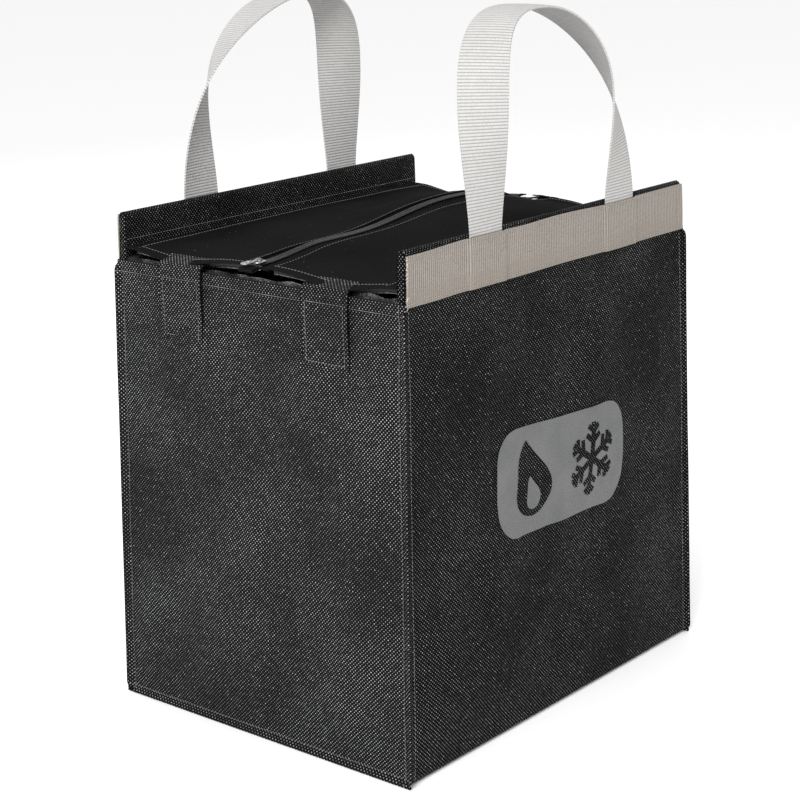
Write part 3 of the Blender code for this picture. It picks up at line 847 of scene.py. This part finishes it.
def lid_height(x, y):
    """The lid's top face: an arch along the zip, pulled down at the tabs, higher beside the zip."""
    fade = ease(LID_HALF_LENGTH - np.abs(x), 0.006, 0.075)
    crest = LID_CREST * np.exp(-((x - LID_CREST_X) / 0.11) ** 2)
    rise = (LID_RISE + crest) * fade * np.clip(1.0 - np.abs(y) / HINGE_Y, 0.0, 1.0) ** 1.2
    hinge_roll = 0.0003 * np.exp(-((np.abs(y) - (HINGE_Y - 0.012)) / 0.006) ** 2)
    near_edge = np.exp(-(LID_HALF_LENGTH - np.abs(x)) / 0.020)
    droop = LID_DROOP * near_edge * np.exp(-((np.abs(y) - 0.082) / 0.036) ** 2)
    ripple = 0.0014 * fade * waves(x, y, 0.055, 71) * np.clip((HINGE_Y - np.abs(y)) / 0.03, 0.0, 1.0)
    return LID_TOP + rise + hinge_roll - droop + ripple


def lid_grid(side, x_half, y_from, y_to, columns=150, rows=46):
    xs = np.linspace(-x_half, x_half, columns)
    ys = np.linspace(y_from, y_to, rows)
    x = np.repeat(xs[None], rows, axis=0)
    y = side * np.repeat(ys[:, None], columns, axis=1)
    return x, y


def lid_layer(name, label, side, x_half, y_range, depth, thickness, material, hem=False):
    x, y = lid_grid(side, x_half, *y_range)
    z = lid_height(x, y) - depth
    if hem:
        z += 0.0005 * ease(np.abs(x), x_half - 0.0095, x_half - 0.0088)
        z += 0.0004 * ease(-np.abs(y), -LID_FREE_EDGE - 0.0075, -LID_FREE_EDGE - 0.0068)
    points = np.stack([x, y, z], axis=2)
    weave = np.stack([x, y], axis=2)
    return shell(f"{name}_{label}", points, weave, thickness, material, flip=side < 0)


def build_lid(name, side):
    body = f"{name}_lid"
    hinge = HINGE_Y + 0.0002
    cover = lid_layer(name, "lid_cloth", side, LID_HALF_LENGTH, (hinge, LID_FREE_EDGE), 0.0, LID_CLOTH_DEPTH,
                      LID_CLOTH, hem=True)
    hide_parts(f"{name}_lid_cover")
    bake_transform(cover)
    inset = LID_HALF_LENGTH - 0.0095
    pad = lid_layer(name, "lid_pad", side, inset, (HINGE_Y - 0.004, LID_FREE_EDGE), PAD_DEPTH, PAD,
                    DARK_FOAM)
    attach(pad, body)
    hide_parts(f"{name}_lid_foam")
    lining = lid_layer(name, "lid_foil", side, inset, (HINGE_Y - 0.004, LID_FREE_EDGE), LINING_DEPTH, LINING,
                       SHADE_DARKENED_FOIL)
    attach(lining, body)
    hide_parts(f"{name}_lid_lining")
    build_zip_half(name, side, body)
    build_lid_threads(name, side, body)


def lid_line(side, xs, y, lift=0.0003):
    """Points on the lid's face along X at a distance y from its middle."""
    ys = np.full_like(xs, side * y)
    return np.stack([xs, ys, lid_height(xs, ys) + lift], axis=1)


def build_lid_threads(name, side, body):
    up = (0.0, 0.0, 1.0)
    reach = LID_HALF_LENGTH - 0.004
    xs = np.linspace(-reach, reach, 120)
    far = stitch_places(lid_line(side, xs, HINGE_Y - 0.0115), up)
    zip_edge = stitch_places(lid_line(side, xs, LID_FREE_EDGE + 0.0022), up)
    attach(beads(f"{name}_lid_hinge_threads", far, STITCH, LID_THREAD), body)
    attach(beads(f"{name}_lid_zip_threads", zip_edge, STITCH, LID_THREAD), body)
    ends = []
    ys = np.linspace(LID_FREE_EDGE + 0.002, HINGE_Y - 0.013, 70)
    for x in (-LID_HALF_LENGTH + 0.008, LID_HALF_LENGTH - 0.008):
        column = np.full_like(ys, x)
        heights = lid_height(column, side * ys) + 0.0008
        ends += stitch_places(np.stack([column, side * ys, heights], axis=1), up)
    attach(beads(f"{name}_lid_hem_threads", ends, STITCH, DIM_THREAD), body)


def build_zip_half(name, side, body):
    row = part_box(f"{name}_zip_tape")[1][0]
    x, y = lid_grid(side, row, LID_FREE_EDGE + 0.003, 0.0030, rows=8)
    points = np.stack([x, y, lid_height(x, y) - 0.0012], axis=2)
    weave = np.stack([x, y], axis=2)
    tape = shell(f"{name}_zip_cloth", points, weave, 0.0006, LID_CLOTH, flip=side < 0)
    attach(tape, body)
    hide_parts(f"{name}_zip_tape")
    count = int(2 * (row - 0.001) / COIL_PITCH)
    places = []
    for i in range(count):
        cx = -row + 0.001 + COIL_PITCH * (i + (0.5 if side > 0 else 0.0))
        slope = (lid_height(cx + 0.001, 0.0) - lid_height(cx - 0.001, 0.0)) / 0.002
        centre = (cx, side * 0.0021, float(lid_height(cx, 0.0)) + 0.0002)
        places.append((centre, (0.0, 1.0, 0.0), (-float(slope), 0.0, 1.0)))
    tooth = bead_template(0.0037, 0.0010, 0.0016, 6, 8)
    coil = beads(f"{name}_zip_coil", places, tooth, COIL_NYLON)
    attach(coil, body)
    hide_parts(f"{name}_zip_teeth")


# ---------------------------------------------------------------- zip slider, pull and end tabs

def plate(name, outline, z_low, z_high, material, bevel=0.0004):
    """A flat piece with rounded edges."""
    count = len(outline)
    vertices = [(x, y, z_low) for x, y in outline] + [(x, y, z_high) for x, y in outline]
    faces = [tuple(range(count))[::-1], tuple(range(count, 2 * count))]
    faces += [(i, (i + 1) % count, count + (i + 1) % count, count + i) for i in range(count)]
    piece = make_object(name, vertices, faces, None, material, sharp=40.0)
    rounding = piece.modifiers.new("rounding", 'BEVEL')
    rounding.width = bevel
    rounding.segments = 3
    rounding.limit_method = 'ANGLE'
    return piece


def slider_outline(centre_x, half_length, nose, tail):
    """A shield, wide at the nose and narrower at the tail."""
    points = []
    for i in range(9):
        angle = math.radians(-90 + 22.5 * i)
        round_x = centre_x - half_length + nose - nose * math.cos(angle) * 0.9
        points.append((round_x, -nose * math.sin(angle)))
    points.append((centre_x + half_length * 0.7, -tail))
    points.append((centre_x + half_length, -tail * 0.8))
    points.append((centre_x + half_length, tail * 0.8))
    points.append((centre_x + half_length * 0.7, tail))
    return points[::-1]


def build_slider():
    low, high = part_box("zip_slider")
    centre = (low[0] + high[0]) / 2
    z = LID_TOP - 0.0002
    outline = slider_outline(centre, 0.0062, 0.0052, 0.0038)
    top = plate("slider_top", outline, z + 0.0017, z + 0.0029, SLIDER_METAL)
    bottom = plate("slider_bottom", outline, z - 0.0036, z - 0.0024, SLIDER_METAL)
    post = plate("slider_post", [(centre - 0.0035, -0.0003), (centre + 0.001, -0.0003),
                                 (centre + 0.001, 0.0003), (centre - 0.0035, 0.0003)],
                 z - 0.0026, z + 0.0015, SLIDER_METAL, 0.0001)
    bridge_path = [(centre + 0.0042 * math.cos(a), 0.0, z + 0.0024 + 0.0022 * math.sin(a))
                   for a in np.linspace(0.0, math.pi, 13)]
    bridge = tube("slider_bridge", bridge_path, 0.0007, SLIDER_METAL)
    for piece in (top, bottom, post, bridge):
        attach(piece, "zip_slider")
    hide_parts("zip_slider")
    build_pull(centre, (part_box("zip_pull")[0][2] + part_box("zip_pull")[1][2]) / 2)


def tube(name, path, radius, material, sides=10):
    path = np.array(path, float)
    vertices, faces = [], []
    for i, centre in enumerate(path):
        along = path[min(i + 1, len(path) - 1)] - path[max(i - 1, 0)]
        along /= np.linalg.norm(along)
        side = np.cross(along, (0.0, 1.0, 0.001))
        side /= np.linalg.norm(side)
        up = np.cross(side, along)
        for k in range(sides):
            angle = 2 * math.pi * k / sides
            vertices.append(centre + radius * (math.cos(angle) * side + math.sin(angle) * up))
    for i in range(len(path) - 1):
        for k in range(sides):
            j = (k + 1) % sides
            faces.append((i * sides + k, (i + 1) * sides + k, (i + 1) * sides + j, i * sides + j))
    faces.append(tuple(range(sides)))
    faces.append(tuple(range((len(path) - 1) * sides, len(path) * sides))[::-1])
    return make_object(name, vertices, faces, None, material)


def build_pull(centre, z):
    """A stamped pull with a ridge round its grip, lying over the lid's edge."""
    low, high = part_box("zip_pull")
    half = (high[1] - low[1]) / 2
    start, end = centre - 0.0010, low[0]
    neck = [(start, -0.0014), (start, 0.0014), (start - 0.005, 0.0016), (start - 0.007, half)]
    for i in range(9):
        angle = math.radians(90 + 22.5 * i)
        neck.append((end + half + half * math.cos(angle), half * math.sin(angle)))
    neck += [(start - 0.007, -half), (start - 0.005, -0.0016)]
    body = plate("pull_plate", neck[::-1], z - 0.0005, z + 0.0006, SLIDER_METAL, 0.0003)
    grip_half = half - PULL_BORDER
    grip = []
    for a in np.linspace(0, 2 * math.pi, 25)[:-1]:
        stretch = 1.6 if math.cos(a) > 0 else 1.0
        grip_x = end + half + 0.0032 + grip_half * math.cos(a) * stretch
        grip.append((grip_x, grip_half * math.sin(a)))
    raised = plate("pull_grip", grip, z + 0.0004, z + 0.0011, SLIDER_METAL, 0.0003)
    for piece in (body, raised):
        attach(piece, "zip_pull")
    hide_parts("zip_pull")


def build_end_tabs():
    for name in ("left", "right"):
        low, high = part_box(f"zip_end_tab_{name}")
        side = -1 if name == "left" else 1
        inner = abs(low[0]) if side > 0 else abs(high[0])
        outer = abs(high[0]) if side > 0 else abs(low[0])
        loop = []
        ts = np.linspace(0.0, 1.0, 8)
        for t in ts:
            loop.append((inner - 0.0008 + t * (outer - inner), LID_TOP + 0.0006 - 0.0012 * t * t))
        for angle in np.linspace(90, -90, 7)[1:-1]:
            a = math.radians(angle)
            loop.append((outer - 0.001 + 0.0016 * math.cos(a), LID_TOP - 0.0021 + 0.0015 * math.sin(a)))
        for t in ts[::-1]:
            loop.append((inner - 0.0008 + t * (outer - inner), LID_TOP - 0.0026 - 0.0010 * t * t))
        ys = np.linspace(-0.007, 0.007, 9)
        points = np.array([[(side * x, y, z + 0.0002 * math.cos(y * 600)) for y in ys] for x, z in loop])
        weave = points[..., :2] + np.array([0.3, 0.0])
        piece = shell(f"zip_end_cloth_{name}", points, weave, TAPE, LID_CLOTH,
                      flip=side < 0)
        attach(piece, "front_lid")
        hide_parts(f"zip_end_tab_{name}")


# ---------------------------------------------------------------- closure tabs

def tab_path(side):
    """From the lid's top, over its edge and down beside the side panel: x, z."""
    hang = abs(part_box("front_left_closure_tab")[0][0])
    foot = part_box("front_left_closure_tab")[0][2]
    head_x = TAB_HEAD_X
    lid_z = LID_TOP - 0.0062
    path = []
    for t in np.linspace(0, 0.75, 6):
        path.append((LID_HALF_LENGTH - 0.012 + 0.011 * t, lid_z + TAB_BEND * (1 - t)))
    centre = (head_x - TAB_BEND, lid_z - TAB_BEND)
    for angle in np.linspace(80, 0, 8):
        a = math.radians(angle)
        path.append((centre[0] + TAB_BEND * math.cos(a), centre[1] + TAB_BEND * math.sin(a)))
    for t in np.linspace(0, 1, 34)[1:]:
        z = centre[1] + (foot - centre[1]) * t
        path.append((head_x + (hang - head_x) * t ** 0.9 + 0.0008 * math.sin(t * 5.0), z))
    return [(side * x, z) for x, z in path]


def build_tab(row_name, row, side_name, side):
    label = f"{row_name}_{side_name}"
    path = tab_path(side)
    ys = np.linspace(-TAB_HALF_WIDTH, TAB_HALF_WIDTH, 24) + row * TAB_Y
    length = np.concatenate([[0.0], np.cumsum(np.linalg.norm(np.diff(np.array(path), axis=0), axis=1))])
    points = np.array([[(x, y, z) for y in ys] for x, z in path])
    seed = 17 + row + 2 * side
    points[..., 0] += side * 0.0004 * waves(points[..., 1], points[..., 2], 0.03, seed)
    weave = np.stack([points[..., 1], -np.repeat(length[:, None], len(ys), axis=1)], axis=2)
    piece = shell(f"{label}_tab_cloth", points, weave, TAB_CLOTH, LIT_SIDE_WEAVE, flip=side < 0)
    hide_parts(f"{label}_closure_tab")
    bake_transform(piece)
    build_tab_threads(label, side, points)


def build_tab_threads(label, side, points):
    """A stitched box round the loop patch on the hanging part."""
    facing = np.array((float(side), 0.0, 0.0))
    places = []
    for column in (2, 21):
        places += stitch_places(points[18:45, column] + facing * 0.0002, facing)
    for row in (18, 44):
        places += stitch_places(points[row, 2:22] + facing * 0.0002, facing)
    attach(beads(f"{label}_tab_threads", places, STITCH, DIM_THREAD), f"{label}_tab")


# ---------------------------------------------------------------- liner, foam and patches

def build_liner():
    """A crinkled film tub: levels run down the walls and on to the middle of the floor."""
    low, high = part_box("foil_liner")
    half_x, half_y = LINER_HALF
    corner = 0.012
    loop = []
    corners = ((half_x, half_y, 0), (-half_x, half_y, 90), (-half_x, -half_y, 180), (half_x, -half_y, 270))
    for cx, cy, start in corners:
        for angle in np.linspace(start, start + 90, 5):
            a = math.radians(angle)
            loop.append((cx - math.copysign(corner, cx) + corner * math.cos(a),
                         cy - math.copysign(corner, cy) + corner * math.sin(a)))
    loop = np.array(loop + loop[:1])
    lengths = np.concatenate([[0.0], np.cumsum(np.linalg.norm(np.diff(loop, axis=0), axis=1))])
    stops = np.linspace(0, lengths[-1], 261)[:-1]
    ring = np.stack([np.interp(stops, lengths, loop[:, k]) for k in range(2)], axis=1)
    levels = [(1.0, z) for z in np.linspace(high[2] + 0.0012, low[2] + 0.004, 70)]
    levels += [(s, low[2] + 0.0012) for s in np.linspace(0.985, 0.02, 30)]
    grid = np.zeros((len(ring), len(levels), 3))
    for j, (scale, z) in enumerate(levels):
        grid[:, j, :2] = ring * scale
        grid[:, j, 2] = z
    s = stops[:, None]
    depth = np.array([z for _, z in levels])[None]
    crease = np.abs(waves(s, depth, 0.028, 91)) + 0.5 * np.abs(waves(s, depth, 0.012, 92))
    inward = 0.0022 * crease * ease(depth, 0.012, 0.05)
    direction = grid[:, :, :2] / np.maximum(np.linalg.norm(grid[:, :, :2], axis=2, keepdims=True), 1e-9)
    grid[:, :, :2] -= direction * inward[..., None]
    floor = np.array([scale < 0.99 for scale, _ in levels])
    grid[:, floor, 2] += 0.0012 * np.abs(waves(grid[:, floor, 0], grid[:, floor, 1], 0.03, 93))
    grid[:, 0, 2] += 0.0008 * waves(stops, 0 * stops, 0.02, 94)
    points = taper(grid)
    weave = np.stack([s + 0 * depth, depth + 0 * s], axis=2)
    piece = shell("foil_film", points, weave, LINER_FILM, SHADE_DARKENED_FOIL, closed=True)
    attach(piece, "bag")
    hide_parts("foil_liner")


def paint_frame_nodes():
    """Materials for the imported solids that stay."""
    for side in ("front", "back", "left", "right", "bottom"):
        paint(f"{side}_foam", DARK_FOAM)
    paint("base_board", BOARD)
    for row in ("front", "back"):
        for side in ("left", "right"):
            paint(f"{row}_{side}_hook_patch", BLACK_PILE)
            paint(f"{row}_{side}_loop_patch", BLACK_PILE)


def paint(node, material):
    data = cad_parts[node].data
    data.materials.clear()
    data.materials.append(material)


# ---------------------------------------------------------------- badge

BADGE_CENTRE = (0.003, 0.203)
BADGE_HALF = (0.085, 0.0435)
BADGE_RADIUS = 0.024
BADGE_TILT = math.radians(-1.5)


def front_face(x, z):
    """Depth of the front panel's outer face at a base-size place."""
    return -(HALF_DEPTH + panel_relief(x / HALF_WIDTH, z, 11))


def on_front(u, v, lift):
    """A badge place, measured from its centre, as a point on the front panel."""
    cos, sin = math.cos(BADGE_TILT), math.sin(BADGE_TILT)
    x = BADGE_CENTRE[0] + u * cos - v * sin
    z = BADGE_CENTRE[1] + u * sin + v * cos
    base = np.stack([x, front_face(x, z) - lift, z], axis=-1)
    return taper(base)


def front_patch(name, left, right, v_range, lift, material, rows=40, columns=50):
    """A patch on the front panel between two curves of v."""
    v = np.linspace(*v_range, rows)[:, None]
    t = np.linspace(0.0, 1.0, columns)[None]
    u = left(v) * (1 - t) + right(v) * t
    v = v + 0 * t
    points = on_front(u, v, lift)
    return patch(name, points, np.stack([u, v], axis=2), material)


def patch(name, points, weave, material):
    piece = shell(name, points, weave, 0.00025, material, flip=True)
    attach(piece, "bag")
    return piece


def badge_edge(v):
    over = np.maximum(np.abs(v) - (BADGE_HALF[1] - BADGE_RADIUS), 0.0)
    return BADGE_HALF[0] - BADGE_RADIUS + np.sqrt(np.maximum(BADGE_RADIUS ** 2 - over ** 2, 0.0))


def strip_patch(start, end, half_width, lift):
    """A straight bar of a pictogram."""
    start, end = np.array(start), np.array(end)
    along = (end - start) / np.linalg.norm(end - start)
    across = np.array((-along[1], along[0]))
    t = np.linspace(0.0, 1.0, 14)[:, None, None]
    s = np.linspace(-1.0, 1.0, 5)[None, :, None]
    places = start + (end - start) * t - across * s * half_width
    points = on_front(places[..., 0], places[..., 1], lift)
    return points, places


def join_patches(name, parts, material):
    """Several small patches in one object."""
    vertices, faces, weave = [], [], []
    start = 0
    for points, places in parts:
        rows, columns = points.shape[:2]
        index = np.arange(rows * columns).reshape(rows, columns) + start
        vertices.append(points.reshape(-1, 3))
        weave.append(places.reshape(-1, 2))
        faces.append(quads(index))
        start += rows * columns
    piece = make_object(name, np.concatenate(vertices), np.concatenate(faces), np.concatenate(weave),
                        material)
    thick = piece.modifiers.new("thickness", 'SOLIDIFY')
    thick.thickness = FIGURE_CLOTH
    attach(piece, "bag")
    return piece


def flame_parts(centre, width, height, lift):
    """A flame with a pointed tip that leans, drawn between two curves."""
    v = np.linspace(0.0, 1.0, 40)[:, None]
    t = np.linspace(0.0, 1.0, 24)[None]
    belly = np.sin(math.pi * np.clip(v, 0, 1) ** 0.62) ** 0.85
    lean = 0.16 * np.sin(v * 5.2) * v
    left = -0.5 * belly + lean
    right = 0.5 * belly + lean
    u = (left * (1 - t) + right * t) * width
    places = np.stack([centre[0] + u, centre[1] + (v - 0.5) * height + 0 * t], axis=2)
    return [(on_front(places[..., 0], places[..., 1], lift), places)]


def snowflake_parts(centre, radius, lift):
    """Six arms, each with two pairs of barbs."""
    parts = []
    centre = np.array(centre)
    for k in range(6):
        angle = math.radians(60 * k + 30)
        arm = np.array((math.cos(angle), math.sin(angle)))
        parts.append(strip_patch(centre - arm * 0.001, centre + arm * radius, radius * 0.085, lift))
        for place, length in ((0.48, 0.34), (0.76, 0.26)):
            for turn in (-55, 55):
                barb_angle = angle + math.radians(turn)
                barb = np.array((math.cos(barb_angle), math.sin(barb_angle))) * radius * length
                root = centre + arm * radius * place
                parts.append(strip_patch(root, root + barb, radius * 0.07, lift))
    return parts


def build_badge():
    top = BADGE_HALF[1] - 1e-5
    film = front_patch("badge_film", lambda v: -badge_edge(v), badge_edge, (-top, top), BADGE_LIFT,
                       BADGE_FILM, rows=60, columns=90)
    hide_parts("badge_print")
    lift = PICTOGRAM_LIFT
    hot = flame_parts((-0.041, 0.001), 0.044, 0.062, lift)
    join_patches("badge_flame", hot, SHADED_FRONT_WEAVE)
    core = flame_parts((-0.041, -0.011), 0.018, 0.027, lift + 0.0003)
    join_patches("badge_flame_core", core, BADGE_FILM)
    cold = snowflake_parts((0.038, 0.0), 0.031, lift)
    join_patches("badge_snowflake", cold, SHADED_FRONT_WEAVE)


# ---------------------------------------------------------------- assembly

add_camera()
add_studio()
build_body_wrap()
build_side_panel("left", -1)
build_side_panel("right", 1)
build_ridge_ends()
build_body_stitches()
for label, facing in (("front", -1), ("back", 1)):
    build_band(label, facing)
    build_handle(label, facing > 0)
    build_lid(label, facing)
build_slider()
build_end_tabs()
for label, facing in (("front", -1), ("back", 1)):
    build_tab(label, facing, "left", -1)
    build_tab(label, facing, "right", 1)
build_liner()
build_badge()
paint_frame_nodes()
